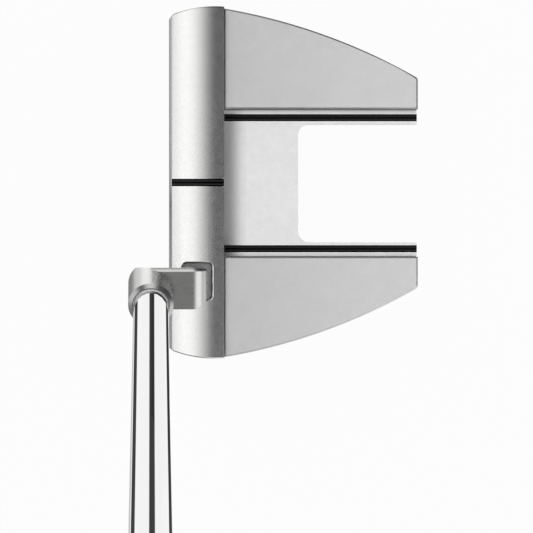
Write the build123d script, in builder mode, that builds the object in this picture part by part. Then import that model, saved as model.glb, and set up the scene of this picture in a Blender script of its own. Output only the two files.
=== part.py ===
from build123d import *
import os
from math import acos, cos, pi, radians, sin, sqrt, tan

# Winged mallet putter, right-handed: a steel face block with a crowned top, an aluminium
# sole flange with two alignment lines, two aluminium wings, a plumber's neck, a tapered steel
# shaft and a wrapped pistol grip. All sizes are in millimetres.
#
# Frame: +X runs from the striking face to the back, +Y from heel to toe, +Z up.
# The origin is on the sole plane, on the centre line, midway from the face to the rear cut-out.

# ---- Driving dimensions: head ----
HEAD_DEPTH = 68.4  # face to wing tips
HALF_WIDTH = 48.75  # centre line to the toe end of the face block
BLOCK_DEPTH = 14.6  # face to the seam behind the face block
BLOCK_HEIGHT = 26.0  # sole to the top of the crown
CUTOUT_FROM_FACE = 35.4
CUTOUT_HALF_WIDTH = 16.4
CUTOUT_CORNER = 3.1
CHANNEL_HALF_WIDTH = 20.5  # centre line to the inner wall of a wing
CHANNEL_HEIGHT = 9.0  # sole to the channel floor
PLATE = 5.0  # thickness of the flange under the wings and the face block
COVE_RADIUS = 14.0  # shallow hollow between the channel floor and the block's rear wall
COVE_WIDTH = 6.3
WING_GAP = 0.2  # open seam between the channel's side and a wing
EDGE_INSET = 0.35  # flange and wings stay this far inside the block's ends
WING_FRONT_HEIGHT = 18.5
WING_REAR_HEIGHT = 16.9
LOFT = 1.5  # degrees
CROWN_RADIUS = 20.0
CROWN_PEAK = 4.7  # face to the highest line of the crown
LINE_HALF_WIDTH = 1.0
LINE_OFFSET = 18.25  # centre line to the middle of a side alignment line
CENTRE_LINE_HALF_WIDTH = 1.05
GROOVE_DEPTH = 0.8
ENAMEL_RECESS = 0.12  # the enamel stops this far below the metal
FIT_GAP = 0.05  # radial play between a fastener and its hole
FACE_CORNER = 1.0  # rounding of the upright corners beside the face
LEADING_EDGE = 1.6
RIM_ROUND = 0.35  # rounding of the crown's rim
WING_CHAMFER = 0.4

# ---- Driving dimensions: neck, shaft and grip ----
LIE = 70.0  # degrees between the shaft and the ground
SHAFT_AHEAD = 5.7  # shaft axis ahead of the face
HOSEL_Y = -33.9
HOSEL_Z = 68.0  # centre of the hosel's open end
HOSEL_RADIUS = 6.15
BORE_RADIUS = 4.8
BORE_DEPTH = 15.0
TIP_RADIUS = 4.7  # 0.370 inch shaft tip
BUTT_RADIUS = 7.366  # 0.580 inch shaft butt
SHAFT_WALL = 0.55
CLUB_LENGTH = 863.6  # 34 inches, along the shaft axis from the sole plane to the butt
GRIP_LENGTH = 267.0
CAP_THICKNESS = 6.0
TAPER_END_BELOW_GRIP = 40.0
TAPE = 0.2
COVER = 1.8  # thickness of the grip's outer wrap
VENT_RADIUS = 2.0
GRIP_CORNER = 1.5
CAP_ROUND = 1.2

FACE_X = -CUTOUT_FROM_FACE / 2
SEAM_X = FACE_X + BLOCK_DEPTH
TIP_X = FACE_X + HEAD_DEPTH
TONGUE_X = FACE_X + 3.8  # front edge of the flange's tongue, under the face block
SHAFT_X = FACE_X - SHAFT_AHEAD
CUTOUT_X = FACE_X + CUTOUT_FROM_FACE
TILT = radians(90 - LIE)

os.makedirs("parts", exist_ok=True)


def behind_face(distance):
    """The X of a point that lies this far behind the top edge of the face."""
    return FACE_X + distance


def crown_z(x, drop=0.0):
    """Height of the crown at x, or of the same arc on a radius smaller by drop."""
    radius = CROWN_RADIUS - drop
    across = x - behind_face(CROWN_PEAK)
    return BLOCK_HEIGHT - CROWN_RADIUS + sqrt(radius**2 - across**2)


def block_end(x):
    """Distance from the centre line to the face block's rounded end at x."""
    end_radius = 35.0
    widest_x = behind_face(12.5)
    return HALF_WIDTH - end_radius + sqrt(end_radius**2 - (x - widest_x) ** 2)


def wing_top(x):
    """Height of a wing's top surface, which falls gently to the back."""
    share = (x - SEAM_X) / (TIP_X - SEAM_X)
    return WING_FRONT_HEIGHT + share * (WING_REAR_HEIGHT - WING_FRONT_HEIGHT)


# The outer edge of each wing is one long arc from the seam to the wing tip.
WING_ARC = [
    (SEAM_X, block_end(SEAM_X) - EDGE_INSET),
    (behind_face(41.8), 41.3),
    (TIP_X, 29.1),
]
WING_TIP_ROUND = 1.1

# ---- Places of the fasteners and weights ----
BLOCK_SCREWS = [(behind_face(9.8), y) for y in (-42.0, -13.0, 13.0, 42.0)]
NECK_SCREW = (behind_face(7.05), -28.9)
NECK_DOWEL = (behind_face(7.05), -25.2)
WING_SCREWS = [(behind_face(x), y) for x, y in ((19.5, 43.0), (19.5, 24.5), (58.0, 26.5))]
WING_DOWELS = [(behind_face(x), y) for x, y in ((27.0, 24.0), (51.5, 30.5))]
WEIGHT_SPOT = (behind_face(40.0), 31.1)

# M4 and M3 countersunk screws, and the M3 cap screws that hold the neck.
M4_RADIUS = 2.0
M4_SINK = 3.9
M4_TOP = 15.0
M3_RADIUS = 1.5
M3_SINK = 3.0
M3_TOP = 13.0
NECK_HEAD_RADIUS = 2.75
NECK_HEAD_HEIGHT = 3.0
NECK_SCREW_TOP = 31.0
NECK_SCREW_KEY = 2.5
NECK_DOWEL_RADIUS = 1.0
NECK_DOWEL_SPAN = (16.0, 28.0)
DOWEL_RADIUS = 1.5
DOWEL_SPAN = (1.6, 11.0)

WEIGHT_HEAD_RADIUS = 7.0
WEIGHT_THREAD_RADIUS = 5.75
WEIGHT_RECESS = 0.2  # the weight's face sits this far above the sole
WEIGHT_HEAD_TOP = 2.0
WEIGHT_TOP = 9.5
WASHER_THICKNESS = 0.6
SOCKET_FLOOR = WEIGHT_HEAD_TOP + WASHER_THICKNESS
BOSS_RADIUS = 8.5
BOSS_TOP = 9.2

# Pocket in the crown around the foot of the neck.
POCKET_X = (behind_face(2.9), behind_face(11.2))
POCKET_Y = (-32.5, -22.1)
POCKET_FLOOR = 22.0
POCKET_CORNER = 1.4
POCKET_FLOOR_ROUND = 0.5
POCKET_MARGIN = 1.0  # the rim's edges lie within this of the pocket's outline
POCKET_RIM_LOWEST = BLOCK_HEIGHT - 1.6


def flip(point):
    """A location on the sole that looks up into the head."""
    return Location((point[0], point[1], 0), (180, 0, 0))


def countersunk_screw(radius, sink, top, key):
    """A flat-head screw on +Z whose head lies in a 90 degree countersink of radius sink."""
    rim = 0.15
    head_rim = sink - rim - FIT_GAP
    with BuildPart() as screw:
        with BuildSketch(Plane.XZ):
            with BuildLine():
                Polyline(
                    (0, rim),
                    (head_rim, rim),
                    (radius, rim + head_rim - radius),
                    (radius, top - radius / 2),
                    (radius / 2, top),
                    (0, top),
                    close=True,
                )
            make_face()
        revolve(axis=Axis.Z)
        with BuildSketch(Plane.XY.offset(rim)):
            RegularPolygon(radius=key / 2, side_count=6, major_radius=False)
        extrude(amount=radius, mode=Mode.SUBTRACT)
    return screw.part


def in_pocket_rim(edge):
    """True for the edges where the pocket's wall meets the crown."""
    middle = edge.center()
    across = POCKET_X[0] - POCKET_MARGIN < middle.X < POCKET_X[1] + POCKET_MARGIN
    along = POCKET_Y[0] - POCKET_MARGIN < middle.Y < POCKET_Y[1] + POCKET_MARGIN
    return across and along and middle.Z > POCKET_RIM_LOWEST


# ---- Face block: the steel bar that carries the face, the crown and the neck ----
face_top = (FACE_X, crown_z(FACE_X))
face_bottom = (FACE_X - crown_z(FACE_X) * tan(radians(LOFT)), 0)
plan_front = face_bottom[0] - 1  # ahead of the whole leaning face
plan_middle = (plan_front + SEAM_X) / 2
LIGHTENING_SIZE = (6.0, 18.0)
LIGHTENING_CORNER = 1.5
LIGHTENING_HEIGHT = 12.0
LIGHTENING_POCKETS = [(behind_face(9.4), y) for y in (0, 27.5)]

with BuildPart() as face_block:
    with BuildSketch(Plane.XZ):
        with BuildLine():
            Line(face_bottom, face_top)
            ThreePointArc(
                face_top,
                (behind_face(CROWN_PEAK), BLOCK_HEIGHT),
                (SEAM_X, crown_z(SEAM_X)),
            )
            Polyline(
                (SEAM_X, crown_z(SEAM_X)),
                (SEAM_X, PLATE),
                (TONGUE_X, PLATE),
                (TONGUE_X, 0),
                face_bottom,
            )
        make_face()
    extrude(amount=HALF_WIDTH + 1, both=True)
    with BuildSketch(Plane.XY):
        with BuildLine():
            Line((plan_front, 0), (plan_front, block_end(plan_front)))
            ThreePointArc(
                (plan_front, block_end(plan_front)),
                (plan_middle, block_end(plan_middle)),
                (SEAM_X, block_end(SEAM_X)),
            )
            Line((SEAM_X, block_end(SEAM_X)), (SEAM_X, 0))
            mirror(about=Plane.XZ)
        make_face()
    extrude(amount=BLOCK_HEIGHT + 1, mode=Mode.INTERSECT)
    # The two upright corners beside the face, the leading edge and the rim of the crown.
    end_edges = face_block.edges().filter_by(lambda e: abs(e.center().Y) > HALF_WIDTH / 2)
    upright = end_edges.filter_by(lambda e: e.length > BLOCK_HEIGHT / 2)
    fillet(upright.group_by(Axis.X)[0], radius=FACE_CORNER)
    leading_edge = face_block.edges().filter_by(Axis.Y).group_by(Axis.Z)[0].sort_by(Axis.X)[0]
    fillet(leading_edge, radius=LEADING_EDGE)
    fillet(face_block.faces().sort_by(Axis.Z)[-1].edges(), radius=RIM_ROUND)
    # Groove of the centre alignment line, across the crown.
    with BuildSketch(Plane.XZ):
        with BuildLine():
            ThreePointArc(
                (FACE_X - 1, crown_z(FACE_X - 1, GROOVE_DEPTH)),
                (behind_face(CROWN_PEAK), BLOCK_HEIGHT - GROOVE_DEPTH),
                (SEAM_X + 1, crown_z(SEAM_X + 1, GROOVE_DEPTH)),
            )
            Polyline(
                (SEAM_X + 1, crown_z(SEAM_X + 1, GROOVE_DEPTH)),
                (SEAM_X + 1, BLOCK_HEIGHT + 1),
                (FACE_X - 1, BLOCK_HEIGHT + 1),
                (FACE_X - 1, crown_z(FACE_X - 1, GROOVE_DEPTH)),
            )
        make_face()
    extrude(amount=CENTRE_LINE_HALF_WIDTH, both=True, mode=Mode.SUBTRACT)
    # Pocket around the foot of the neck.
    with BuildSketch(Plane.XY.offset(POCKET_FLOOR)):
        with Locations((sum(POCKET_X) / 2, sum(POCKET_Y) / 2)):
            RectangleRounded(
                POCKET_X[1] - POCKET_X[0], POCKET_Y[1] - POCKET_Y[0], POCKET_CORNER
            )
    extrude(amount=BLOCK_HEIGHT, mode=Mode.SUBTRACT)
    pocket = face_block.edges(Select.LAST)
    fillet(pocket.group_by(Axis.Z)[0], radius=POCKET_FLOOR_ROUND)
    pocket_rim = face_block.edges().filter_by(in_pocket_rim)
    fillet(pocket_rim, radius=RIM_ROUND)
    # Lightening pockets and tapped holes, all closed from below by the flange's tongue.
    with BuildSketch(Plane.XY.offset(PLATE)):
        with Locations(*LIGHTENING_POCKETS):
            RectangleRounded(*LIGHTENING_SIZE, LIGHTENING_CORNER)
    extrude(amount=LIGHTENING_HEIGHT, mode=Mode.SUBTRACT)
    with BuildSketch(Plane.XY.offset(PLATE)):
        with Locations(*BLOCK_SCREWS):
            Circle(M4_RADIUS + FIT_GAP)
    extrude(amount=M4_TOP + 1 - PLATE, mode=Mode.SUBTRACT)
    # The neck's screw, with room for its head, and the neck's dowel.
    with BuildSketch(Plane.XY.offset(PLATE)):
        with Locations(NECK_SCREW):
            Circle(M3_RADIUS + FIT_GAP)
    extrude(amount=POCKET_FLOOR, mode=Mode.SUBTRACT)
    with BuildSketch(Plane.XY.offset(PLATE)):
        with Locations(NECK_SCREW):
            Circle(NECK_HEAD_RADIUS + FIT_GAP)
    extrude(amount=NECK_HEAD_HEIGHT, mode=Mode.SUBTRACT)
    with BuildSketch(Plane.XY.offset(NECK_DOWEL_SPAN[0])):
        with Locations(NECK_DOWEL):
            Circle(NECK_DOWEL_RADIUS)
    extrude(amount=POCKET_FLOOR, mode=Mode.SUBTRACT)
face_block.part.label = "face_block"
export_step(face_block.part, "parts/face_block.step")


# ---- Sole flange: the plate under the head, with the raised channel between the wings ----
COVE_CENTRE = (SEAM_X + COVE_WIDTH, CHANNEL_HEIGHT + COVE_RADIUS)
GROOVE_TOP = CHANNEL_HEIGHT + 4.0  # above the highest point of the cove


def cove_arc(drop=0.0):
    """Start, middle and end of the cove, drop below its surface, from the block to the floor."""
    radius = COVE_RADIUS + drop
    at_wall = acos(COVE_WIDTH / radius)
    turns = (at_wall, (at_wall + pi / 2) / 2, pi / 2)
    return [(COVE_CENTRE[0] - radius * cos(t), COVE_CENTRE[1] - radius * sin(t)) for t in turns]


COVE = cove_arc()
GROOVE_ARC = cove_arc(GROOVE_DEPTH)

tongue_middle = (TONGUE_X + SEAM_X) / 2

with BuildPart() as sole_flange:
    with BuildSketch(Plane.XY) as flange_plan:
        with BuildLine():
            Line((TONGUE_X, 0), (TONGUE_X, block_end(TONGUE_X) - EDGE_INSET))
            ThreePointArc(
                (TONGUE_X, block_end(TONGUE_X) - EDGE_INSET),
                (tongue_middle, block_end(tongue_middle) - EDGE_INSET),
                WING_ARC[0],
            )
            ThreePointArc(*WING_ARC)
            Polyline(
                WING_ARC[2],
                (TIP_X, CUTOUT_HALF_WIDTH),
                (CUTOUT_X, CUTOUT_HALF_WIDTH),
                (CUTOUT_X, 0),
            )
            mirror(about=Plane.XZ)
        make_face()
        corners = flange_plan.vertices().filter_by(lambda v: abs(v.X - CUTOUT_X) < 0.01)
        fillet(corners, radius=CUTOUT_CORNER)
        tips = flange_plan.vertices().filter_by(lambda v: abs(abs(v.Y) - WING_ARC[2][1]) < 0.01)
        fillet(tips, radius=WING_TIP_ROUND)
    extrude(amount=CHANNEL_HEIGHT)
    # Step down beside the channel for the wings, and in front for the face block.
    with BuildSketch(Plane.XY.offset(PLATE)):
        Rectangle(4 * HALF_WIDTH, 4 * HALF_WIDTH)
        with Locations((SEAM_X, 0)):
            Rectangle(
                HEAD_DEPTH,
                2 * (CHANNEL_HALF_WIDTH - WING_GAP),
                align=(Align.MIN, Align.CENTER),
                mode=Mode.SUBTRACT,
            )
    extrude(amount=CHANNEL_HEIGHT, mode=Mode.SUBTRACT)
    # The cove that rises from the channel floor to the block.
    with BuildSketch(Plane.XZ):
        with BuildLine():
            ThreePointArc(*COVE)
            Polyline(COVE[2], (COVE_CENTRE[0], PLATE), (SEAM_X, PLATE), COVE[0])
        make_face()
    extrude(amount=CHANNEL_HALF_WIDTH - WING_GAP, both=True)
    # Grooves of the two side alignment lines.
    for side in (-1, 1):
        with BuildSketch(Plane.XZ.offset(-side * LINE_OFFSET)):
            with BuildLine():
                ThreePointArc(*GROOVE_ARC)
                Polyline(
                    GROOVE_ARC[2],
                    (TIP_X, GROOVE_ARC[2][1]),
                    (TIP_X, GROOVE_TOP),
                    (SEAM_X, GROOVE_TOP),
                    GROOVE_ARC[0],
                )
            make_face()
        extrude(amount=LINE_HALF_WIDTH, both=True, mode=Mode.SUBTRACT)
    # Screw holes with countersinks, open to the sole.
    with Locations(*[flip(point) for point in BLOCK_SCREWS]):
        CounterSinkHole(M4_RADIUS + FIT_GAP, M4_SINK, depth=PLATE + 1)
    for side in (-1, 1):
        with Locations(*[flip((x, side * y)) for x, y in WING_SCREWS]):
            CounterSinkHole(M3_RADIUS + FIT_GAP, M3_SINK, depth=PLATE + 1)
        with BuildSketch(Plane.XY.offset(DOWEL_SPAN[0])):
            with Locations(*[(x, side * y) for x, y in WING_DOWELS]):
                Circle(DOWEL_RADIUS)
        extrude(amount=PLATE, mode=Mode.SUBTRACT)
        # Boss, socket and threaded hole of the sole weight.
        spot = (WEIGHT_SPOT[0], side * WEIGHT_SPOT[1])
        with BuildSketch(Plane.XY.offset(PLATE)):
            with Locations(spot):
                Circle(BOSS_RADIUS)
        extrude(amount=BOSS_TOP - PLATE)
        with BuildSketch(Plane.XY):
            with Locations(spot):
                Circle(WEIGHT_HEAD_RADIUS + 2 * FIT_GAP)
        extrude(amount=SOCKET_FLOOR, mode=Mode.SUBTRACT)
        with BuildSketch(Plane.XY):
            with Locations(spot):
                Circle(WEIGHT_THREAD_RADIUS + FIT_GAP)
        extrude(amount=BOSS_TOP, mode=Mode.SUBTRACT)
sole_flange.part.label = "sole_flange"
export_step(sole_flange.part, "parts/sole_flange.step")


# ---- Wings: the toe wing is modelled and the heel wing is its mirror image ----
with BuildPart() as toe_wing:
    with BuildSketch(Plane.XY.offset(PLATE)) as wing_plan:
        with BuildLine():
            ThreePointArc(*WING_ARC)
            Polyline(
                WING_ARC[2],
                (TIP_X, CHANNEL_HALF_WIDTH),
                (SEAM_X, CHANNEL_HALF_WIDTH),
                WING_ARC[0],
            )
        make_face()
        tip = wing_plan.vertices().sort_by(Axis.X)[-2:].sort_by(Axis.Y)[-1]
        fillet(tip, radius=WING_TIP_ROUND)
    extrude(amount=WING_FRONT_HEIGHT)
    # The top falls in a straight line from the seam to the tip.
    with BuildSketch(Plane.XZ):
        Polygon(
            (SEAM_X, PLATE),
            (TIP_X, PLATE),
            (TIP_X, wing_top(TIP_X)),
            (SEAM_X, wing_top(SEAM_X)),
            align=None,
        )
    extrude(amount=-2 * HALF_WIDTH, mode=Mode.INTERSECT)
    chamfer(toe_wing.faces().sort_by(Axis.Z)[-1].edges(), length=WING_CHAMFER)
    # Recess over the weight's boss, tapped holes and dowel holes.
    with BuildSketch(Plane.XY.offset(PLATE)):
        with Locations(WEIGHT_SPOT):
            Circle(BOSS_RADIUS + FIT_GAP)
    extrude(amount=WEIGHT_TOP + 1 - PLATE, mode=Mode.SUBTRACT)
    with BuildSketch(Plane.XY.offset(PLATE)):
        with Locations(*WING_SCREWS):
            Circle(M3_RADIUS + FIT_GAP)
    extrude(amount=M3_TOP + 1 - PLATE, mode=Mode.SUBTRACT)
    with BuildSketch(Plane.XY.offset(PLATE)):
        with Locations(*WING_DOWELS):
            Circle(DOWEL_RADIUS)
    extrude(amount=DOWEL_SPAN[1] - PLATE, mode=Mode.SUBTRACT)
toe_wing.part.label = "toe_wing"
export_step(toe_wing.part, "parts/toe_wing.step")

with BuildPart() as heel_wing:
    mirror(toe_wing.part, about=Plane.XZ)
heel_wing.part.label = "heel_wing"
export_step(heel_wing.part, "parts/heel_wing.step")


# ---- Alignment lines: enamel that fills each groove to just below the metal ----
enamel_arc = cove_arc(ENAMEL_RECESS)

with BuildPart() as centre_line:
    with BuildSketch(Plane.XZ):
        with BuildLine():
            for drop in (GROOVE_DEPTH, ENAMEL_RECESS):
                ThreePointArc(
                    (FACE_X + FIT_GAP, crown_z(FACE_X + FIT_GAP, drop)),
                    (behind_face(CROWN_PEAK), BLOCK_HEIGHT - drop),
                    (SEAM_X - FIT_GAP, crown_z(SEAM_X - FIT_GAP, drop)),
                )
            for x in (FACE_X + FIT_GAP, SEAM_X - FIT_GAP):
                Line((x, crown_z(x, GROOVE_DEPTH)), (x, crown_z(x, ENAMEL_RECESS)))
        make_face()
    extrude(amount=CENTRE_LINE_HALF_WIDTH, both=True)
centre_line.part.label = "centre_line"
export_step(centre_line.part, "parts/centre_line.step")

with BuildPart() as toe_line:
    with BuildSketch(Plane.XZ.offset(-LINE_OFFSET)):
        with BuildLine():
            ThreePointArc(*GROOVE_ARC)
            Polyline(
                GROOVE_ARC[2],
                (TIP_X, GROOVE_ARC[2][1]),
                (TIP_X, CHANNEL_HEIGHT - ENAMEL_RECESS),
                enamel_arc[2],
            )
            ThreePointArc(*enamel_arc)
            Line(enamel_arc[0], GROOVE_ARC[0])
        make_face()
    extrude(amount=LINE_HALF_WIDTH, both=True)
toe_line.part.label = "toe_line"
export_step(toe_line.part, "parts/toe_line.step")

with BuildPart() as heel_line:
    mirror(toe_line.part, about=Plane.XZ)
heel_line.part.label = "heel_line"
export_step(heel_line.part, "parts/heel_line.step")


# ---- Screws and dowels of the head ----
def fasteners(name, shape, points):
    """Copies of one fastener at each point of the sole, as one node."""
    with BuildPart() as group:
        with Locations(*points):
            add(shape)
    group.part.label = name
    export_step(group.part, f"parts/{name}.step")


def dowel(radius, span):
    """An upright pin with bevelled ends over a span of heights."""
    with BuildPart() as pin:
        with BuildSketch(Plane.XY.offset(span[0])):
            Circle(radius)
        extrude(amount=span[1] - span[0])
        chamfer(pin.edges(), length=radius / 5)
    return pin.part


block_screw = countersunk_screw(M4_RADIUS, M4_SINK, M4_TOP, key=2.5)
wing_screw = countersunk_screw(M3_RADIUS, M3_SINK, M3_TOP, key=2.0)
wing_dowel = dowel(DOWEL_RADIUS, DOWEL_SPAN)
fasteners("block_screws", block_screw, BLOCK_SCREWS)
for wing, side in (("toe", 1), ("heel", -1)):
    fasteners(f"{wing}_wing_screws", wing_screw, [(x, side * y) for x, y in WING_SCREWS])
    fasteners(f"{wing}_wing_dowels", wing_dowel, [(x, side * y) for x, y in WING_DOWELS])
fasteners("neck_dowel", dowel(NECK_DOWEL_RADIUS, NECK_DOWEL_SPAN), [NECK_DOWEL])

with BuildPart() as neck_screw:
    with BuildSketch(Plane.XY.offset(PLATE)):
        with Locations(NECK_SCREW):
            Circle(NECK_HEAD_RADIUS)
    extrude(amount=NECK_HEAD_HEIGHT)
    with BuildSketch(Plane.XY.offset(PLATE + NECK_HEAD_HEIGHT)):
        with Locations(NECK_SCREW):
            Circle(M3_RADIUS)
    extrude(amount=NECK_SCREW_TOP - PLATE - NECK_HEAD_HEIGHT)
    with BuildSketch(Plane.XY.offset(PLATE)):
        with Locations(NECK_SCREW):
            RegularPolygon(radius=NECK_SCREW_KEY / 2, side_count=6, major_radius=False)
    extrude(amount=NECK_HEAD_HEIGHT / 2, mode=Mode.SUBTRACT)
neck_screw.part.label = "neck_screw"
export_step(neck_screw.part, "parts/neck_screw.step")


# ---- Sole weights: each screws into a boss of the flange over a loose washer ----
SPANNER_RADIUS = 0.9
SPANNER_SPACING = 9.0
SPANNER_DEPTH = 1.2
WEIGHT_EDGE = 0.4  # bevel of the weight's face
THREAD_END = 0.8  # bevel at the end of its thread

for wing, side in (("toe", 1), ("heel", -1)):
    spot = (WEIGHT_SPOT[0], side * WEIGHT_SPOT[1])
    with BuildPart() as weight:
        with BuildSketch(Plane.XY.offset(WEIGHT_RECESS)):
            with Locations(spot):
                Circle(WEIGHT_HEAD_RADIUS)
        extrude(amount=WEIGHT_HEAD_TOP - WEIGHT_RECESS)
        chamfer(weight.edges().group_by(Axis.Z)[0], length=WEIGHT_EDGE)
        with BuildSketch(Plane.XY.offset(WEIGHT_HEAD_TOP)):
            with Locations(spot):
                Circle(WEIGHT_THREAD_RADIUS)
        extrude(amount=WEIGHT_TOP - WEIGHT_HEAD_TOP)
        chamfer(weight.edges().group_by(Axis.Z)[-1], length=THREAD_END)
        # Spanner holes.
        with BuildSketch(Plane.XY.offset(WEIGHT_RECESS)):
            with Locations(spot):
                with GridLocations(SPANNER_SPACING, 0, 2, 1):
                    Circle(SPANNER_RADIUS)
        extrude(amount=SPANNER_DEPTH, mode=Mode.SUBTRACT)
    weight.part.label = f"{wing}_weight"
    export_step(weight.part, f"parts/{wing}_weight.step")

    with BuildPart() as washer:
        with BuildSketch(Plane.XY.offset(WEIGHT_HEAD_TOP)):
            with Locations(spot):
                Circle(WEIGHT_HEAD_RADIUS - FIT_GAP)
                Circle(WEIGHT_THREAD_RADIUS + FIT_GAP, mode=Mode.SUBTRACT)
        extrude(amount=WASHER_THICKNESS)
    washer.part.label = f"{wing}_weight_washer"
    export_step(washer.part, f"parts/{wing}_weight_washer.step")


# ---- Neck: foot, post, elbow and arm, then the hosel tube along the shaft's axis ----
# The arm lies square to the hosel, so its profile is drawn in a plane along the shaft's axis.
POST_FRONT = behind_face(4.4)
POST_REAR = behind_face(9.7)
ARM_TOP = -11.4  # this and the next are measured along the axis from the hosel's open end
HOSEL_BOTTOM = -19.0
ELBOW_RADIUS = 4.2
INNER_ELBOW_RADIUS = 3.0
HEEL_CORNER = 4.2  # rounding of the back heel corner, seen from above
HEEL_EDGE = 0.4
TOE_ROUND = 0.9
NECK_TOE_Y = -23.5
FOOT_HEEL_Y = -31.4
ARM_HEEL_Y = -34.9
ARM_START_Y = -31.0
HEEL_KNEE_Z = HOSEL_Z - 18.0  # the heel side leans out up to here and is upright above
HOSEL_CHAMFER = 1.0
HOSEL_BOTTOM_ROUND = 1.2
SHAFT_DIRECTION = (0, -sin(TILT), cos(TILT))
HOSEL_END = (SHAFT_X, HOSEL_Y, HOSEL_Z)
HOSEL_PLANE = Plane(origin=HOSEL_END, x_dir=(1, 0, 0), z_dir=SHAFT_DIRECTION)
LENGTHWISE = Plane(origin=HOSEL_END, x_dir=(1, 0, 0), z_dir=(0, -cos(TILT), -sin(TILT)))

with BuildPart() as neck_arm:
    # Seen from the toe: the post, the elbow and the arm that reaches forward to the hosel.
    with BuildSketch(LENGTHWISE) as arm_side:
        Polygon(
            (POST_FRONT - SHAFT_X, -HOSEL_Z),
            (POST_REAR - SHAFT_X, -HOSEL_Z),
            (POST_REAR - SHAFT_X, ARM_TOP),
            (0, ARM_TOP),
            (0, HOSEL_BOTTOM),
            (POST_FRONT - SHAFT_X, HOSEL_BOTTOM),
            align=None,
        )
        outer = arm_side.vertices().group_by(Axis.Y)[-1].sort_by(Axis.X)[-1]
        inner = arm_side.vertices().group_by(Axis.Y)[1].sort_by(Axis.X)[-1]
        fillet(outer, radius=ELBOW_RADIUS)
        fillet(inner, radius=INNER_ELBOW_RADIUS)
    extrude(amount=HALF_WIDTH, both=True)
    # Seen from the front: upright on the toe side, leaning out on the heel side.
    with BuildSketch(Plane.YZ.offset(SHAFT_X)):
        Polygon(
            (NECK_TOE_Y, POCKET_FLOOR),
            (FOOT_HEEL_Y, POCKET_FLOOR),
            (ARM_HEEL_Y, HEEL_KNEE_Z),
            (ARM_HEEL_Y, HOSEL_Z),
            (NECK_TOE_Y, HOSEL_Z),
            align=None,
        )
    extrude(amount=HALF_WIDTH, mode=Mode.INTERSECT)
    # Seen from above: square, but for one rounded corner.
    with BuildSketch(Plane.XY) as arm_plan:
        Polygon(
            (SHAFT_X, NECK_TOE_Y),
            (SHAFT_X, ARM_HEEL_Y),
            (POST_REAR, ARM_HEEL_Y),
            (POST_REAR, NECK_TOE_Y),
            align=None,
        )
        fillet(arm_plan.vertices().group_by(Axis.X)[-1].sort_by(Axis.Y)[0], radius=HEEL_CORNER)
    extrude(amount=HOSEL_Z, mode=Mode.INTERSECT)
    # Break the edges along the top of the arm and over the elbow.
    facing_up = neck_arm.faces().filter_by(
        lambda f: f.normal_at().dot(Vector(SHAFT_DIRECTION)) > 0.99
    )
    fillet(facing_up.edges().group_by(Axis.Y)[0], radius=HEEL_EDGE)
    toe_side = neck_arm.edges().filter_by(lambda e: abs(e.center().Y - NECK_TOE_Y) < 0.01)
    outer_side = toe_side.filter_by(
        lambda e: e.center().Z > POCKET_FLOOR + 1
        and (e.center().X > POST_FRONT + 1 or e.center().Z > HOSEL_Z + ARM_TOP)
    )
    fillet(outer_side, radius=TOE_ROUND)
    # Slant the heel side so that it starts inside the hosel.
    with BuildSketch(Plane.XY):
        Polygon(
            (SHAFT_X, ARM_START_Y),
            (SHAFT_X + HOSEL_RADIUS, ARM_HEEL_Y - 1),
            (SHAFT_X, ARM_HEEL_Y - 1),
            align=None,
        )
    extrude(amount=HOSEL_Z, mode=Mode.SUBTRACT)

with BuildPart() as neck:
    with BuildSketch(HOSEL_PLANE):
        Circle(HOSEL_RADIUS)
    extrude(amount=HOSEL_BOTTOM)
    chamfer(neck.faces().sort_by(Axis.Z)[-1].edges(), length=HOSEL_CHAMFER)
    fillet(neck.faces().sort_by(Axis.Z)[0].edges(), radius=HOSEL_BOTTOM_ROUND)
    split(bisect_by=Plane.XZ.offset(-NECK_TOE_Y), keep=Keep.TOP)
    add(neck_arm.part)
    with BuildSketch(HOSEL_PLANE):
        Circle(BORE_RADIUS)
    extrude(amount=-BORE_DEPTH, mode=Mode.SUBTRACT)
    # Holes in the foot for the neck's screw and dowel.
    with BuildSketch(Plane.XY.offset(POCKET_FLOOR)):
        with Locations(NECK_SCREW):
            Circle(M3_RADIUS + FIT_GAP)
    extrude(amount=NECK_SCREW_TOP + 1 - POCKET_FLOOR, mode=Mode.SUBTRACT)
    with BuildSketch(Plane.XY.offset(POCKET_FLOOR)):
        with Locations(NECK_DOWEL):
            Circle(NECK_DOWEL_RADIUS)
    extrude(amount=NECK_DOWEL_SPAN[1] - POCKET_FLOOR, mode=Mode.SUBTRACT)
neck.part.label = "neck"
export_step(neck.part, "parts/neck.step")


# ---- Shaft and grip, measured along the shaft's axis from the hosel's open end ----
GRIP_TOP = CLUB_LENGTH - HOSEL_Z / cos(TILT)
SHAFT_BUTT = GRIP_TOP - CAP_THICKNESS
GRIP_MOUTH = GRIP_TOP - GRIP_LENGTH
TAPER_END = GRIP_MOUTH - TAPER_END_BELOW_GRIP
SHAFT_AXIS = Axis(HOSEL_END, SHAFT_DIRECTION)

with BuildPart() as shaft:
    with BuildSketch(LENGTHWISE):
        Polygon(
            (TIP_RADIUS - SHAFT_WALL, -BORE_DEPTH),
            (TIP_RADIUS, -BORE_DEPTH),
            (BUTT_RADIUS, TAPER_END),
            (BUTT_RADIUS, SHAFT_BUTT),
            (BUTT_RADIUS - SHAFT_WALL, SHAFT_BUTT),
            (BUTT_RADIUS - SHAFT_WALL, TAPER_END),
            align=None,
        )
    revolve(axis=SHAFT_AXIS)
shaft.part.label = "shaft"
export_step(shaft.part, "parts/shaft.step")

with BuildPart() as grip_tape:
    with BuildSketch(HOSEL_PLANE.offset(GRIP_MOUTH)):
        Circle(BUTT_RADIUS + TAPE)
        Circle(BUTT_RADIUS, mode=Mode.SUBTRACT)
    extrude(amount=SHAFT_BUTT - GRIP_MOUTH)
grip_tape.part.label = "grip_tape"
export_step(grip_tape.part, "parts/grip_tape.step")

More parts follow.
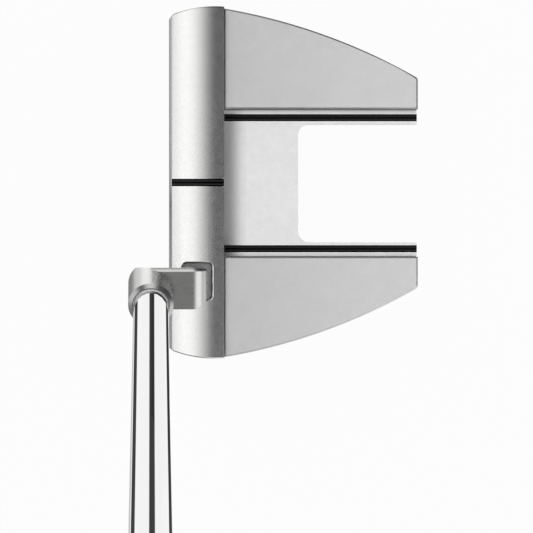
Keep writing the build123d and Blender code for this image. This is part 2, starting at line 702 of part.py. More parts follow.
# Stations of the pistol grip: distance above its mouth, half width, and how far the flat front
# and the round back stand off the shaft's axis.
GRIP_STATIONS = [
    (0.0, 10.0, 9.6, 10.0),
    (70.0, 11.2, 9.8, 11.8),
    (150.0, 12.0, 10.2, 13.2),
    (215.0, 12.6, 10.4, 15.6),
    (GRIP_LENGTH - CAP_THICKNESS, 13.0, 10.6, 18.4),
]


def grip_section(half_width, front, back):
    """Outline of the grip on one plane: an ellipse cut flat in front, with rounded corners."""
    with BuildSketch() as section:
        Ellipse(half_width, back)
        with Locations((0, front)):
            Rectangle(4 * back, 4 * back, align=(Align.CENTER, Align.MIN), mode=Mode.SUBTRACT)
        fillet(section.vertices().group_by(Axis.Y)[-1], radius=GRIP_CORNER)
    return section.sketch


def grip_form(inset):
    """The solid form of the grip, with its sides brought in by inset."""
    with BuildPart() as form:
        for distance, half_width, front, back in GRIP_STATIONS:
            with BuildSketch(HOSEL_PLANE.offset(GRIP_MOUTH + distance)):
                add(grip_section(half_width - inset, front - inset, back - inset))
        loft()
    return form.part


with BuildPart() as grip_underlisting:
    add(grip_form(COVER + FIT_GAP))
    with BuildSketch(HOSEL_PLANE.offset(GRIP_MOUTH)):
        Circle(BUTT_RADIUS + TAPE)
    extrude(amount=GRIP_LENGTH, mode=Mode.SUBTRACT)
grip_underlisting.part.label = "grip_underlisting"
export_step(grip_underlisting.part, "parts/grip_underlisting.step")

with BuildPart() as grip_cover:
    add(grip_form(0.0))
    add(grip_form(COVER), mode=Mode.SUBTRACT)
grip_cover.part.label = "grip_cover"
export_step(grip_cover.part, "parts/grip_cover.step")

with BuildPart() as grip_butt_cap:
    with BuildSketch(HOSEL_PLANE.offset(SHAFT_BUTT)):
        add(grip_section(*GRIP_STATIONS[-1][1:]))
    extrude(amount=CAP_THICKNESS)
    fillet(grip_butt_cap.edges().group_by(SHAFT_AXIS)[-1], radius=CAP_ROUND)
    with BuildSketch(HOSEL_PLANE.offset(SHAFT_BUTT)):
        Circle(VENT_RADIUS)
    extrude(amount=CAP_THICKNESS, mode=Mode.SUBTRACT)
grip_butt_cap.part.label = "grip_butt_cap"
export_step(grip_butt_cap.part, "parts/grip_butt_cap.step")
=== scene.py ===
from math import atan, cos, exp, pi, radians, sin

import bpy
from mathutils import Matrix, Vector
from mathutils.bvhtree import BVHTree


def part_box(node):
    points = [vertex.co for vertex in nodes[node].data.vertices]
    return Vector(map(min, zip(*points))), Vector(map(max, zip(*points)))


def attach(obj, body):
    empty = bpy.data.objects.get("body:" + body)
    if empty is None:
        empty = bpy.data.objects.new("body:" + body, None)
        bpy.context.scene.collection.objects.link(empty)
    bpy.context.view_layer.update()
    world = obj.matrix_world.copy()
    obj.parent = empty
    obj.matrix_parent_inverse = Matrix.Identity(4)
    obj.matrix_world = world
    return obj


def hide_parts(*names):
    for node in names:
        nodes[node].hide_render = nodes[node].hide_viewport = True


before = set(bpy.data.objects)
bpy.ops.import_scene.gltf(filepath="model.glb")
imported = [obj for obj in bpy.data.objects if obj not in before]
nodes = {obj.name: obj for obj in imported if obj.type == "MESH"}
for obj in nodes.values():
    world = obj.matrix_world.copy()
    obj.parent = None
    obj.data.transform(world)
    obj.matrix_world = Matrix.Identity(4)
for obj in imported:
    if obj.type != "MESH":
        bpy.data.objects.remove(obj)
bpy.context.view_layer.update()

MM = 0.001


# ---- Places taken from the frame ----
def middle_of(name):
    """Middle of a CAD node's box."""
    low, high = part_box(name)
    return (low + high) / 2


BLOCK_LOW, BLOCK_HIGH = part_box("face_block")
TOE_LINE_LOW, TOE_LINE_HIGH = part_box("toe_line")
SHAFT_LOW, SHAFT_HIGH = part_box("shaft")
WING_LOW, WING_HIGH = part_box("toe_wing")
FACE_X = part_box("centre_line")[0].x
SEAM_X = WING_LOW.x
TIP_X = WING_HIGH.x
TOP_Z = BLOCK_HIGH.z
SHAFT_X = (SHAFT_LOW.x + SHAFT_HIGH.x) / 2
LINE_Y = (TOE_LINE_LOW.y + TOE_LINE_HIGH.y) / 2
LINE_HALF = (TOE_LINE_HIGH.y - TOE_LINE_LOW.y) / 2

# The shaft's axis comes from the ends of its CAD mesh: it lies in the plane X = SHAFT_X.
SHAFT_POINTS = [vertex.co for vertex in nodes["shaft"].data.vertices]
END_RISE = 6 * MM  # each tilted end of the shaft spans less height than this


def shaft_end(points, height):
    """Middle of the shaft's end ring whose points lie near this height."""
    ring = [p for p in points if abs(p.z - height) < END_RISE]
    low_y = min(p.y for p in ring)
    high_y = max(p.y for p in ring)
    low_z = min(p.z for p in ring)
    high_z = max(p.z for p in ring)
    return Vector((SHAFT_X, (low_y + high_y) / 2, (low_z + high_z) / 2))


SHAFT_FOOT = shaft_end(SHAFT_POINTS, SHAFT_LOW.z)
SHAFT_TOP = shaft_end(SHAFT_POINTS, SHAFT_HIGH.z)
SHAFT_DIRECTION = (SHAFT_TOP - SHAFT_FOOT).normalized()


def grey(value):
    """A plain colour of this level."""
    return (value, value, value, 1.0)


# ---- Node graphs ----
class Graph:
    """A node tree, with short calls that add nodes and join them."""

    def __init__(self, tree):
        self.tree = tree

    def put(self, value, socket):
        """Joins another node's output to this socket, or sets the socket to a plain value."""
        if isinstance(value, bpy.types.NodeSocket):
            self.tree.links.new(value, socket)
        else:
            socket.default_value = value

    def add(self, kind, inputs=None, **settings):
        """Adds a shader node with these inputs, by name or number, and these settings."""
        node = self.tree.nodes.new("ShaderNode" + kind)
        for name, value in settings.items():
            setattr(node, name, value)
        for key, value in (inputs or {}).items():
            self.put(value, node.inputs[key])
        return node

    def maths(self, operation, *values):
        return self.add("Math", dict(enumerate(values)), operation=operation).outputs[0]

    def vector(self, operation, *values):
        node = self.add("VectorMath", dict(enumerate(values)), operation=operation)
        return node.outputs[0]

    def dot(self, first, second):
        node = self.add("VectorMath", {0: first, 1: second}, operation="DOT_PRODUCT")
        return node.outputs["Value"]

    def parts(self, vector):
        return self.add("SeparateXYZ", {0: vector}).outputs

    def ramp(self, value, start, end, low=0.0, high=1.0):
        """low at start, high at end, and a smooth change between."""
        places = {"Value": value, "From Min": start, "From Max": end, "To Min": low, "To Max": high}
        return self.add("MapRange", places, interpolation_type="SMOOTHSTEP").outputs[0]

    def spread(self, base, amount, value):
        """base - amount to base + amount, following a value from 0 to 1."""
        return self.maths("MULTIPLY_ADD", value, 2 * amount, base - amount)

    def grey(self, level):
        """A colour from a level that nodes work out."""
        return self.add("CombineColor", {0: level, 1: level, 2: level}).outputs[0]

    def mix(self, share, first, second):
        return self.add("Mix", {0: share, 6: first, 7: second}, data_type="RGBA").outputs[2]

    def noise(self, place, sizes, detail=2.0, seed=0.0):
        """Noise from 0 to 1 whose blotches have these sizes along X, Y and Z."""
        scaled = self.vector("DIVIDE", place, sizes)
        settings = {"Vector": scaled, "W": seed, "Scale": 1.0, "Detail": detail}
        return self.add("TexNoise", settings, noise_dimensions="4D").outputs[0]


class Finish(Graph):
    """A Principled material under construction, textured in the row frame."""

    def __init__(self, name):
        self.material = bpy.data.materials.new(name)
        self.material.use_nodes = True
        super().__init__(self.material.node_tree)
        self.shader = self.tree.nodes["Principled BSDF"]
        self.place = self.add("TexCoord").outputs["Object"]
        self.normal = self.add("NewGeometry").outputs["Normal"]

    def set(self, **inputs):
        """Sets or joins the shader's inputs, which are named with _ for each space."""
        for key, value in inputs.items():
            self.put(value, self.shader.inputs[key.replace("_", " ")])

    def speckle(self, size, detail=2.0, seed=0.0):
        """Noise from 0 to 1 with blotches of one size all round."""
        return self.noise(self.place, (size, size, size), detail, seed)

    def edges(self, radius):
        """1 beside a sharp edge, 0 on an open surface."""
        flat, sharp = 0.99, 0.88  # cosine of the turn between the rounded normal and the true one
        bevel = self.add("Bevel", {"Radius": radius}, samples=4)
        return self.ramp(self.dot(bevel.outputs[0], self.normal), flat, sharp)

    def crevices(self, distance):
        """1 deep in a seam, 0 in the open."""
        clear, closed = 0.95, 0.35  # share of the surroundings that the spot still sees
        hidden = self.add("AmbientOcclusion", {"Distance": distance}, samples=6)
        return self.ramp(hidden.outputs["AO"], clear, closed)

    def bump(self, height, distance, under=None):
        """A normal for this height, which runs from 0 to 1, over another bump if one is given."""
        inputs = {"Height": height, "Distance": distance}
        if under is not None:
            inputs["Normal"] = under
        return self.add("Bump", inputs).outputs[0]


# ---- Metals ----
WHITE = (1.0, 1.0, 1.0)
EDGE_RADIUS = 0.3 * MM
SEAM_REACH = 1.2 * MM
BLOTCH_SIZE = 9 * MM
WEAR_SIZE = 1.2 * MM
SHEEN_SIZE = 1.6 * MM
LEAST_WEAR = 0.35
BLOTCH_SHARE = 0.04
# Lifts worn edges: part real wear, part a painted highlight.
WEAR_AND_HIGHLIGHT_SHARE = 0.2
WORN_POLISH = 0.1
SHEEN = 0.05


def metal(name, base, roughness, tint=WHITE, grain=0.28 * MM, relief=0.006 * MM, mottle=0.05,
          painted_dark_edge=0.0, painted_seam_shade=0.3):
    """Satin metal: fine speckle, soft blotches, edges lightened by wear and a painted highlight, edges
    darkened by a painted dark reflection where asked, and painted shade in the seams.

    mottle and the painted dark edge and painted seam shade are shares of the base level.
    """
    f = Finish(name)
    f.fine = f.speckle(grain)
    blotch = f.speckle(BLOTCH_SIZE, detail=3.0, seed=4.0)
    f.edge = f.edges(EDGE_RADIUS)
    patchy = f.ramp(f.speckle(WEAR_SIZE, seed=9.0), 0.3, 0.6, LEAST_WEAR, 1.0)
    wear_and_highlight = f.maths("MULTIPLY", f.edge, patchy)
    blotches = f.spread(0.0, BLOTCH_SHARE * base, blotch)
    level = f.maths("ADD", f.spread(base, mottle * base, f.fine), blotches)
    # Worn edges are lighter: part real wear, part a painted highlight.
    level = f.maths("MULTIPLY_ADD", wear_and_highlight, WEAR_AND_HIGHLIGHT_SHARE * base, level)
    # Edges darkened as a painted dark reflection of the room.
    level = f.maths("MULTIPLY_ADD", f.edge, -painted_dark_edge * base, level)
    # Painted shade in seams, darker where the surroundings are hidden.
    f.level = f.maths("MULTIPLY_ADD", f.crevices(SEAM_REACH), -painted_seam_shade * base, level)
    f.tint = tint
    sheen = f.spread(roughness, SHEEN, f.speckle(SHEEN_SIZE, seed=2.0))
    f.rough = f.maths("MULTIPLY_ADD", wear_and_highlight, -WORN_POLISH, sheen)
    f.relief = f.bump(f.fine, relief)
    f.metallic = 1.0
    return f


def finish_metal(f):
    """Joins the levels that a metal's function may have changed, and gives the material."""
    colour = f.add("VectorMath", {0: f.grey(f.level), 1: f.tint}, operation="MULTIPLY").outputs[0]
    f.set(Base_Color=colour, Metallic=f.metallic, Roughness=f.rough, Normal=f.relief)
    return f.material


# The pocket around the neck's foot, inside its rounded rim.
POCKET_MIDDLE = (middle_of("neck_screw") + middle_of("neck_dowel")) / 2
POCKET_HALF = (4.3 * MM, 5.4 * MM)
POCKET_WALL_TOP = TOP_Z - 1.5 * MM
BELOW_POCKET = TOP_Z - 5 * MM


def in_pocket(f, x, y, z):
    """1 inside the blasted pocket of the bar, 0 outside it."""
    fade = 0.2 * MM
    side_fade = 0.1 * MM
    under_rim = f.ramp(z, POCKET_WALL_TOP, POCKET_WALL_TOP - fade)
    above_sole = f.ramp(z, BELOW_POCKET, BELOW_POCKET + fade)
    inside = f.maths("MULTIPLY", under_rim, above_sole)
    for place, middle, half in zip((x, y), POCKET_MIDDLE, POCKET_HALF):
        away = f.maths("ABSOLUTE", f.maths("SUBTRACT", place, middle))
        inside = f.maths("MULTIPLY", inside, f.ramp(away, half, half - side_fade))
    return inside


def milled_arcs(f, y, z):
    """Waves from -2 to 2 along two crossing sets of arcs, whose centres lie below the face's corners."""
    centre_aside = 70 * MM
    centre_below = 45 * MM
    pitch = 1.1 * MM
    up = f.maths("ADD", z, centre_below)
    waves = 0.0
    for side in (-1, 1):
        across = f.maths("SUBTRACT", y, side * centre_aside)
        squares = f.maths("ADD", f.maths("MULTIPLY", across, across), f.maths("MULTIPLY", up, up))
        turns = f.maths("MULTIPLY", f.maths("SQRT", squares), 2 * pi / pitch)
        waves = f.maths("ADD", waves, f.maths("SINE", turns))
    return waves


def face_steel():
    """Satin steel bar; its striking face is milled in crossing arcs and darkened with painted shade."""
    tint = (1.0, 0.997, 0.99)
    f = metal("face_steel", 0.68, 0.25, tint, relief=0.012 * MM, mottle=0.13, painted_seam_shade=0.0)
    x, y, z = f.parts(f.place)

    # The edges of the bar's two ends are darkened: a painted dark reflection of the room.
    end_start, end_full = BLOCK_HIGH.y - 7 * MM, BLOCK_HIGH.y - 5 * MM
    painted_end_shade = 0.8
    ends = f.ramp(f.maths("ABSOLUTE", y), end_start, end_full, 0.0, -painted_end_shade)
    f.level = f.maths("MULTIPLY", f.level, f.maths("MULTIPLY_ADD", ends, f.edge, 1.0))

    # The rear rim is broken by hand and scatters light, and its colour is lifted by a painted highlight; the
    # pocket is blasted and dull, and its colour is darkened by painted shade.
    rim_start, rim_full = SEAM_X - 0.7 * MM, SEAM_X - 0.4 * MM
    matt_share = 0.7
    painted_rim_highlight = 0.5
    painted_pocket_shade = 0.35
    rim = f.maths("MULTIPLY", f.ramp(x, rim_start, rim_full), f.edge)
    pocket = in_pocket(f, x, y, z)
    matt = f.maths("MULTIPLY", f.maths("ADD", pocket, rim), matt_share)
    f.metallic = f.maths("SUBTRACT", 1.0, matt)
    darker = f.maths("MULTIPLY_ADD", pocket, -painted_pocket_shade, 1.0)
    f.level = f.maths("MULTIPLY", f.level, f.maths("MULTIPLY_ADD", rim, painted_rim_highlight, darker))

    # The striking face, which looks towards -X, is milled, and its colour is darkened nearly to black as
    # painted shade.
    painted_face_shade = 0.93
    cut_depth = 0.03 * MM
    facing = f.ramp(f.parts(f.normal)[0], -0.8, -0.97)
    cuts = f.maths("MULTIPLY", facing, milled_arcs(f, y, z))
    f.relief = f.bump(cuts, cut_depth, under=f.relief)
    f.level = f.maths("MULTIPLY", f.level, f.maths("MULTIPLY_ADD", facing, -painted_face_shade, 1.0))

    face_roughening = 0.12
    pocket_roughening = 0.3
    rougher = f.maths("MULTIPLY_ADD", facing, face_roughening, f.maths("MULTIPLY", pocket, pocket_roughening))
    f.rough = f.maths("ADD", f.rough, rougher)
    return finish_metal(f)


def neck_steel():
    """Satin steel of the neck, a little coarser than the bar."""
    tint = (1.0, 0.994, 0.985)
    f = metal("neck_steel", 0.51, 0.28, tint, grain=0.32 * MM, mottle=0.08)
    return finish_metal(f)


def wing_aluminium():
    """Bead-blasted aluminium; its colour grows brighter towards the tips as painted light, with painted dark
    rims and painted shade in the seams.
    """
    painted_front_level, painted_tip_level = 0.97, 1.09
    f = metal("wing_aluminium", 0.61, 0.50, painted_dark_edge=0.45, painted_seam_shade=0.5)
    # Painted light: the colour brightens from the front to the tips.
    back = f.ramp(f.parts(f.place)[0], SEAM_X, TIP_X, painted_front_level, painted_tip_level)
    f.level = f.maths("MULTIPLY", f.level, back)
    return finish_metal(f)


def flange_aluminium():
    """Aluminium with a fine grain along X all over, and straight mill marks on the sole."""
    mill_pitch = 1.6 * MM
    mill_depth = 0.006 * MM
    grain_size = (0.9 * MM, 0.16 * MM, 0.16 * MM)
    grain_share = 0.09
    f = metal("flange_aluminium", 0.645, 0.36)
    grain = f.noise(f.place, grain_size, seed=3.0)
    f.level = f.maths("MULTIPLY", f.level, f.spread(1.0, grain_share, grain))
    below = f.ramp(f.parts(f.normal)[2], -0.9, -0.99)
    passes = f.maths("SINE", f.maths("MULTIPLY", f.parts(f.place)[1], 2 * pi / mill_pitch))
    f.relief = f.bump(f.maths("MULTIPLY", below, passes), mill_depth, under=f.relief)
    return finish_metal(f)


def turned_metal(name, base, roughness, spots, pitch, tint):
    """Machined metal with fine lathe rings about the nearest of several upright axes."""
    ring_depth = 0.012 * MM
    ring_share = 0.04
    f = metal(name, base, roughness, tint)
    nearest = 1.0  # metres, further than any of the axes
    for spot in spots:
        offset = f.vector("SUBTRACT", f.place, (spot.x, spot.y, 0.0))
        flat = f.vector("MULTIPLY", offset, (1.0, 1.0, 0.0))
        distance = f.add("VectorMath", {0: flat}, operation="LENGTH").outputs["Value"]
        nearest = f.maths("MINIMUM", nearest, distance)
    rings = f.maths("SINE", f.maths("MULTIPLY", nearest, 2 * pi / pitch))
    f.relief = f.bump(rings, ring_depth, under=f.relief)
    f.level = f.maths("MULTIPLY", f.level, f.maths("MULTIPLY_ADD", rings, ring_share, 1.0))
    return finish_metal(f)


PIECES_APART = 16 * MM  # two pieces of one node stand further apart than this


def axes_of(node):
    """Middles of a node's separate upright pieces."""
    groups = []
    for vertex in nodes[node].data.vertices:
        near = [group for group in groups if (vertex.co - group[0]).xy.length < PIECES_APART]
        if near:
            near[0].append(vertex.co)
        else:
            groups.append([vertex.co])
    middles = []
    for points in groups:
        low = Vector([min(p[axis] for p in points) for axis in range(3)])
        high = Vector([max(p[axis] for p in points) for axis in range(3)])
        middles.append((low + high) / 2)
    return middles


def screw_steel():
    """Dark oxide steel screws and ground dowels."""
    spots = []
    for name in ("block_screws", "toe_wing_screws", "heel_wing_screws"):
        spots += axes_of(name)
    return turned_metal("screw_steel", 0.30, 0.30, spots, 0.5 * MM, (0.98, 0.99, 1.0))


def weight_steel():
    """Stainless sole weights, faced on a lathe."""
    spots = axes_of("toe_weight") + axes_of("heel_weight")
    return turned_metal("weight_steel", 0.62, 0.24, spots, 0.45 * MM, (1.0, 0.99, 0.97))


def shaft_chrome():
    """Mirror-bright chrome plate with faint polishing marks, hazed by handling higher up."""
    handled_from = 260 * MM
    handled_fully = 340 * MM
    most_smudge = 0.25
    polish_depth = 0.001 * MM
    f = Finish("shaft_chrome")
    marks = f.noise(f.place, (0.5 * MM, 0.5 * MM, 14 * MM), detail=3.0)
    haze = f.speckle(6 * MM, detail=3.0, seed=7.0)
    f.set(Base_Color=f.grey(f.spread(0.86, 0.012, haze)), Metallic=1.0)
    handled = f.ramp(f.parts(f.place)[2], handled_from, handled_fully)
    smudge = f.maths("MULTIPLY", handled, f.ramp(haze, 0.4, 0.7, 0.0, most_smudge))
    f.set(Roughness=0.0, Coat_Weight=smudge, Coat_Roughness=0.25)
    f.set(Normal=f.bump(marks, polish_depth))
    return f.material


# ---- Enamel, nylon, paper and rubber ----
def line_enamel():
    """Glossy black enamel that dips in the middle of each line, with two paler streaks along it painted as
    reflections.
    """
    painted_streak_level = 0.026
    flow_depth = 0.01 * MM
    f = Finish("line_enamel")
    side = f.maths("ABSOLUTE", f.parts(f.place)[1])
    in_channel = f.ramp(side, LINE_Y / 2 - MM, LINE_Y / 2 + MM)
    from_middle = f.maths("SUBTRACT", side, f.maths("MULTIPLY", in_channel, LINE_Y))
    across = f.maths("DIVIDE", f.maths("ABSOLUTE", from_middle), LINE_HALF)
    # The paler streaks are painted reflections.
    streak = f.maths("MULTIPLY", f.ramp(across, 0.2, 0.42), f.ramp(across, 0.75, 0.5))
    flow = f.noise(f.place, (3 * MM, 0.25 * MM, 0.25 * MM), detail=3.0)
    black = f.spread(0.0010, 0.0006, flow)
    f.set(Base_Color=f.grey(f.maths("MULTIPLY_ADD", streak, painted_streak_level, black)))
    f.set(Roughness=f.spread(0.2, 0.05, f.speckle(1.5 * MM)), Specular_IOR_Level=0.04)
    f.set(Normal=f.bump(f.maths("MULTIPLY_ADD", across, across, flow), flow_depth))
    return f.material


def washer_nylon():
    """Milky nylon with a soft mottled surface."""
    f = Finish("washer_nylon")
    mottle = f.speckle(0.8 * MM, detail=3.0)
    f.set(Base_Color=f.mix(mottle, (0.62, 0.60, 0.54, 1.0), (0.80, 0.79, 0.74, 1.0)))
    f.set(Roughness=f.spread(0.45, 0.08, mottle), Subsurface_Weight=0.25, Subsurface_Scale=0.001)
    f.set(Normal=f.bump(mottle, 0.01 * MM))
    return f.material


def grip_tape():
    """Creped paper tape."""
    f = Finish("grip_tape")
    fibres = f.noise(f.place, (0.3 * MM, 0.3 * MM, 2 * MM), detail=4.0)
    f.set(Base_Color=f.mix(fibres, (0.55, 0.47, 0.33, 1.0), (0.80, 0.73, 0.58, 1.0)))
    f.set(Roughness=0.85, Normal=f.bump(fibres, 0.03 * MM))
    return f.material


def grip_rubber():
    """Moulded black rubber with a fine pebble and a slight bloom."""
    f = Finish("grip_rubber")
    pebble = f.speckle(0.5 * MM, detail=3.0)
    bloom = f.speckle(8 * MM, detail=3.0, seed=5.0)
    f.set(Base_Color=f.mix(bloom, (0.012, 0.012, 0.013, 1.0), (0.028, 0.028, 0.030, 1.0)))
    f.set(Roughness=f.spread(0.58, 0.12, bloom), Normal=f.bump(pebble, 0.03 * MM))
    return f.material


def grip_wrap():
    """Textured polyurethane wrap: a leather-like pebble, painted shade in the seams and patches of wear."""
    pebble_size = 1.4 * MM
    pebble_depth = 0.12 * MM
    painted_wrap_seam_shade = 0.8
    f = Finish("grip_wrap")
    scaled = f.vector("DIVIDE", f.place, (pebble_size, pebble_size, pebble_size))
    cells = f.add("TexVoronoi", {"Vector": scaled, "Scale": 1.0}, feature="DISTANCE_TO_EDGE").outputs[0]
    pebble = f.ramp(cells, 0.0, 0.2)
    wear = f.speckle(22 * MM, detail=3.0, seed=6.0)
    light = f.maths("MULTIPLY", pebble, f.maths("MULTIPLY_ADD", wear, 0.7, 0.5))
    # Painted shade in the wrap's seams.
    open_surface = f.maths("MULTIPLY_ADD", f.crevices(1.5 * MM), -painted_wrap_seam_shade, 1.0)
    share = f.maths("MULTIPLY", light, open_surface)
    f.set(Base_Color=f.mix(share, (0.007, 0.007, 0.008, 1.0), (0.070, 0.070, 0.075, 1.0)))
    f.set(Roughness=f.spread(0.55, 0.15, wear), Normal=f.bump(pebble, pebble_depth))
    return f.material


PAINT = {
    face_steel: ["face_block"],
    neck_steel: ["neck"],
    wing_aluminium: ["toe_wing", "heel_wing"],
    flange_aluminium: ["sole_flange"],
    line_enamel: ["centre_line", "toe_line", "heel_line"],
    shaft_chrome: ["shaft"],
    screw_steel: ["block_screws", "toe_wing_screws", "heel_wing_screws", "neck_screw", "neck_dowel",
                  "toe_wing_dowels", "heel_wing_dowels"],
    weight_steel: ["toe_weight", "heel_weight"],
    washer_nylon: ["toe_weight_washer", "heel_weight_washer"],
    grip_tape: ["grip_tape"],
    grip_rubber: ["grip_underlisting", "grip_butt_cap"],
    grip_wrap: ["grip_cover"],
}
materials = {}
for make, names in PAINT.items():
    slot = make.__name__
    materials[slot] = make()
    for name in names:
        nodes[name].data.materials.clear()
        nodes[name].data.materials.append(materials[slot])


# ---- Grip: a spiral wrap that follows the CAD cover's surface ----
WRAP_PITCH = 25 * MM
SEAM_DEPTH = 0.6 * MM
SEAM_WIDTH = 0.7 * MM
OVERLAP = 0.3 * MM  # each turn stands this much proud of the next at its edge
COVER_WALL = 1.8 * MM
RING_STEP = 0.6 * MM
AROUND = 112  # points in each ring of the wrap's mesh
OUTSIDE_COVER = 40 * MM
END_INSET = 0.05 * MM  # keeps the end rings on the cover's side, off its flat ends


def wrap_depth(along, share):
    """How far the wrap lies below the CAD cover, at a length along the grip and a share of a turn."""
    phase = (along / WRAP_PITCH + share) % 1.0
    from_seam = min(phase, 1.0 - phase) * WRAP_PITCH
    seam = SEAM_DEPTH * exp(-((from_seam / SEAM_WIDTH) ** 2))
    return seam + OVERLAP * phase


def add_wrap():
    """Shrinks rings of points onto the CAD cover, sinks the spiral seam and closes both ends."""
    cover = nodes["grip_cover"].data
    surface = BVHTree.FromPolygons([v.co for v in cover.vertices], [p.vertices for p in cover.polygons])
    heights = [(v.co - SHAFT_FOOT).dot(SHAFT_DIRECTION) for v in cover.vertices]
    bottom, top = min(heights), max(heights)
    sideways = Vector((1.0, 0.0, 0.0))
    forwards = SHAFT_DIRECTION.cross(sideways)
    count = int((top - bottom) / RING_STEP)
    lengths = [(top - bottom) * i / count for i in range(count + 1)]
    rings = [(lengths[0], COVER_WALL), (lengths[0], 2 * OVERLAP)]
    rings += [(length, 0.0) for length in lengths[1:-1]]
    rings += [(lengths[-1], 2 * OVERLAP), (lengths[-1], COVER_WALL)]
    points = []
    for length, drop in rings:
        inside = min(max(length, END_INSET), top - bottom - END_INSET)
        centre = SHAFT_FOOT + SHAFT_DIRECTION * (bottom + inside)
        for j in range(AROUND):
            turn = 2 * pi * j / AROUND
            outward = sideways * cos(turn) + forwards * sin(turn)
            hit = surface.ray_cast(centre + outward * OUTSIDE_COVER, -outward)[0]
            depth = max(drop, wrap_depth(length, j / AROUND))
            points.append(hit - outward * depth)
    faces = []
    for start in range(0, len(points) - AROUND, AROUND):
        for j in range(AROUND):
            k = (j + 1) % AROUND
            above = start + AROUND
            faces.append((start + j, start + k, above + k, above + j))
    mesh = bpy.data.meshes.new("grip_wrap_skin")
    mesh.from_pydata(points, [], faces)
    mesh.shade_smooth()
    mesh.materials.append(materials["grip_wrap"])
    wrap = bpy.data.objects.new("grip_wrap_skin", mesh)
    bpy.context.scene.collection.objects.link(wrap)
    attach(wrap, "head")
    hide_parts("grip_cover")
    return wrap


# The head mirrors nothing that stands above it.
ABOVE_HEAD = ("neck", "shaft", "grip_tape", "grip_underlisting", "grip_butt_cap")
for piece in [add_wrap()] + [nodes[name] for name in ABOVE_HEAD]:
    piece.visible_glossy = False


# ---- Studio ----
def towards(azimuth, elevation):
    """Unit vector at these angles in degrees: azimuth from +X towards +Y, elevation from the floor."""
    level = cos(radians(elevation))
    return (level * cos(radians(azimuth)), level * sin(radians(azimuth)), sin(radians(elevation)))


# Lights that reflections see: direction, angles where the light is full and where it ends, brightness.
SOFTBOXES = [
    (towards(165, 85.5), 5, 51, 1.42),
    (towards(-40, 22), 16, 37, 1.55),
    (towards(180, 15), 20, 45, 0.9),
    (towards(92, 42), 8, 30, 1.1),
]
DARK_ROOM = 0.07


def add_world():
    """A dark room with its soft lights, as reflections see it; plain white otherwise."""
    world = bpy.data.worlds.new("studio")
    world.use_nodes = True
    bpy.context.scene.world = world
    w = Graph(world.node_tree)
    direction = w.add("TexCoord").outputs["Generated"]
    light = DARK_ROOM
    for middle, full, end, brightness in SOFTBOXES:
        apart = w.maths("ARCCOSINE", w.maths("MINIMUM", w.dot(direction, middle), 1.0))
        glow = w.ramp(apart, radians(end), radians(full), 0.0, brightness)
        light = w.maths("ADD", glow, light)
    rays = w.add("LightPath").outputs
    seen = w.mix(rays["Is Glossy Ray"], grey(1.0), w.grey(light))
    w.put(seen, world.node_tree.nodes["Background"].inputs["Color"])


# What the floor shows to reflections, by angle in degrees about the foot of the shaft: middle and
# half width of a card, and its brightness. The chrome sees three dark cards that streak it and a grey
# one that gives it an edge; satin metal sees a dark side, a bright strip and a dim strip.
CHROME_CARDS = [(197, 17, 0.035), (84, 14, 0.035), (326, 17, 0.035), (250, 28, 0.57)]
CHROME_EDGE = 2.0
SATIN_CARDS = [(36, 43, 0.02), (112, 20, 1.5), (207, 30, 0.25)]
SATIN_EDGE = 8.0

# The floor lies just below the lowest point that the unscrewed weights reach.
WEIGHT_TRAVEL = 7 * MM
FLOOR_Z = -WEIGHT_TRAVEL - MM
FLOOR_HALF = 3.0
FLOOR_WHITE = 0.96

# The cards fade in over this distance, so that the sole mirrors only plain floor.
CARDS_START = 12 * MM
CARDS_FULL = 24 * MM


def floor_light(f, point, cards, edge):
    """Light from the floor around the point where the shaft's axis would meet it."""
    offset = f.parts(f.vector("SUBTRACT", f.place, tuple(point)))
    angle = f.maths("ARCTAN2", offset[1], offset[0])
    light = 1.0
    for middle, half_width, level in cards:
        aligned = f.maths("COSINE", f.maths("SUBTRACT", angle, radians(middle)))
        outer = cos(radians(half_width + edge))
        inner = cos(radians(half_width - edge))
        light = f.maths("MULTIPLY", f.ramp(aligned, outer, inner, 1.0, level), light)
    return f.grey(light)


def axis_at(height):
    """Where the shaft's axis passes this height."""
    return SHAFT_FOOT + SHAFT_DIRECTION * ((height - SHAFT_FOOT.z) / SHAFT_DIRECTION.z)


def flat_stage(name, corner_low, corner_high, height):
    """A level rectangle that belongs to the studio."""
    (x0, y0), (x1, y1) = corner_low, corner_high
    corners = [(x, y, height) for x, y in ((x0, y0), (x1, y0), (x1, y1), (x0, y1))]
    mesh = bpy.data.meshes.new(name)
    mesh.from_pydata(corners, [], [(0, 1, 2, 3)])
    sheet = bpy.data.objects.new(name, mesh)
    bpy.context.scene.collection.objects.link(sheet)
    return sheet


def glossy_only(thing):
    """Leaves a studio piece to reflections alone."""
    for ray in ("camera", "diffuse", "transmission", "volume_scatter", "shadow"):
        setattr(thing, "visible_" + ray, False)


def from_above(f):
    """1 for rays that meet the front of a sheet, 0 for those that meet its back."""
    return f.maths("SUBTRACT", 1.0, f.add("NewGeometry").outputs["Backfacing"])


def show(f, surface, share):
    """Shows this surface for a share of the light and leaves the rest clear."""
    clear = f.add("BsdfTransparent").outputs[0]
    shown = f.add("MixShader", {0: share, 1: clear, 2: surface}).outputs[0]
    f.put(shown, f.tree.nodes["Material Output"].inputs["Surface"])


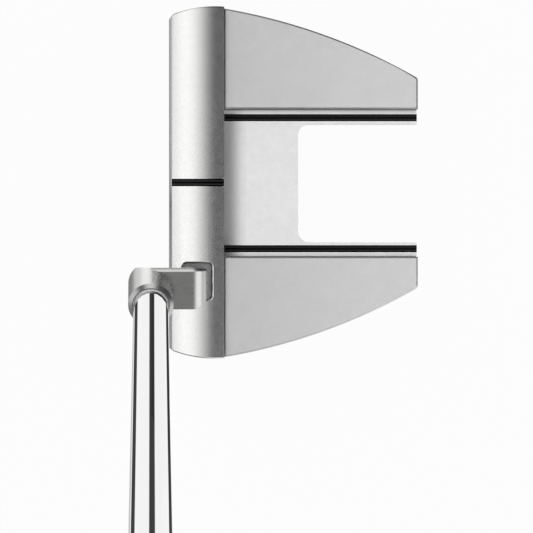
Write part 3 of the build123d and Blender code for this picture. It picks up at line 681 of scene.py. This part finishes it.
def add_floor():
    """Pale floor, near white to the eye and clear from below; reflections also see the cards."""
    floor = flat_stage("floor", (-FLOOR_HALF, -FLOOR_HALF), (FLOOR_HALF, FLOOR_HALF), FLOOR_Z)
    f = Finish("floor")
    rays = f.add("LightPath").outputs
    chrome = floor_light(f, axis_at(FLOOR_Z), CHROME_CARDS, CHROME_EDGE)
    satin = floor_light(f, axis_at(FLOOR_Z), SATIN_CARDS, SATIN_EDGE)
    mirrored = f.mix(rays["Is Singular Ray"], satin, chrome)
    away = f.ramp(rays["Ray Length"], CARDS_START, CARDS_FULL)
    cards = f.maths("MULTIPLY", rays["Is Glossy Ray"], away)
    seen = f.mix(cards, grey(FLOOR_WHITE), mirrored)
    f.set(Base_Color=grey(0.02), Roughness=0.9, Specular_IOR_Level=0.0)
    f.set(Emission_Color=seen, Emission_Strength=1.0)
    show(f, f.shader.outputs[0], from_above(f))
    floor.data.materials.append(f.material)


def add_head_card():
    """A sheet over the head that only the chrome sees, so that it mirrors a plain floor there too."""
    height = TOP_Z + 0.5 * MM
    margin = 3 * MM
    low = (FACE_X - margin, BLOCK_LOW.y - margin)
    high = (TIP_X + margin, BLOCK_HIGH.y + margin)
    sheet = flat_stage("head_card", low, high, height)
    glossy_only(sheet)
    f = Finish("head_card")
    rays = f.add("LightPath").outputs
    chrome = floor_light(f, axis_at(height), CHROME_CARDS, CHROME_EDGE)
    glow = f.add("Emission", {"Color": chrome}).outputs[0]
    show(f, glow, f.maths("MULTIPLY", from_above(f), rays["Is Singular Ray"]))
    sheet.data.materials.append(f.material)


def add_neck_echo():
    """A copy of the hosel's tube that only the chrome sees, since nothing mirrors the neck itself."""
    tube_fade = (SHAFT_X + 6.5 * MM, SHAFT_X + 5.9 * MM)
    echo = bpy.data.objects.new("neck_echo", nodes["neck"].data.copy())
    echo.matrix_world = nodes["neck"].matrix_world
    bpy.context.scene.collection.objects.link(echo)
    glossy_only(echo)
    f = Finish("neck_echo")
    f.set(Base_Color=grey(0.55), Metallic=1.0, Roughness=0.32)
    tube = f.ramp(f.parts(f.place)[0], *tube_fade)
    rays = f.add("LightPath").outputs
    show(f, f.shader.outputs[0], f.maths("MULTIPLY", tube, rays["Is Singular Ray"]))
    echo.data.materials.clear()
    echo.data.materials.append(f.material)


def add_camera():
    """A long lens above the shaft's plane, turned a little towards the back of the head."""
    distance = 2.0
    view_width = 147.2 * MM
    aim_behind_face = 26.2 * MM
    aim_to_heel = 23.2 * MM
    aim = Vector((FACE_X + aim_behind_face, -aim_to_heel, TOP_Z))
    data = bpy.data.cameras.new("camera")
    data.sensor_width = 36.0
    data.lens = data.sensor_width * distance / view_width
    data.clip_end = 50.0
    camera = bpy.data.objects.new("camera", data)
    camera.location = (SHAFT_X, aim.y, TOP_Z + distance)
    camera.rotation_euler = (0.0, -atan((aim.x - SHAFT_X) / distance), 0.0)
    bpy.context.scene.collection.objects.link(camera)
    bpy.context.scene.camera = camera


add_world()
add_floor()
add_head_card()
add_neck_echo()
add_camera()
bpy.context.scene.view_settings.view_transform = "Standard"
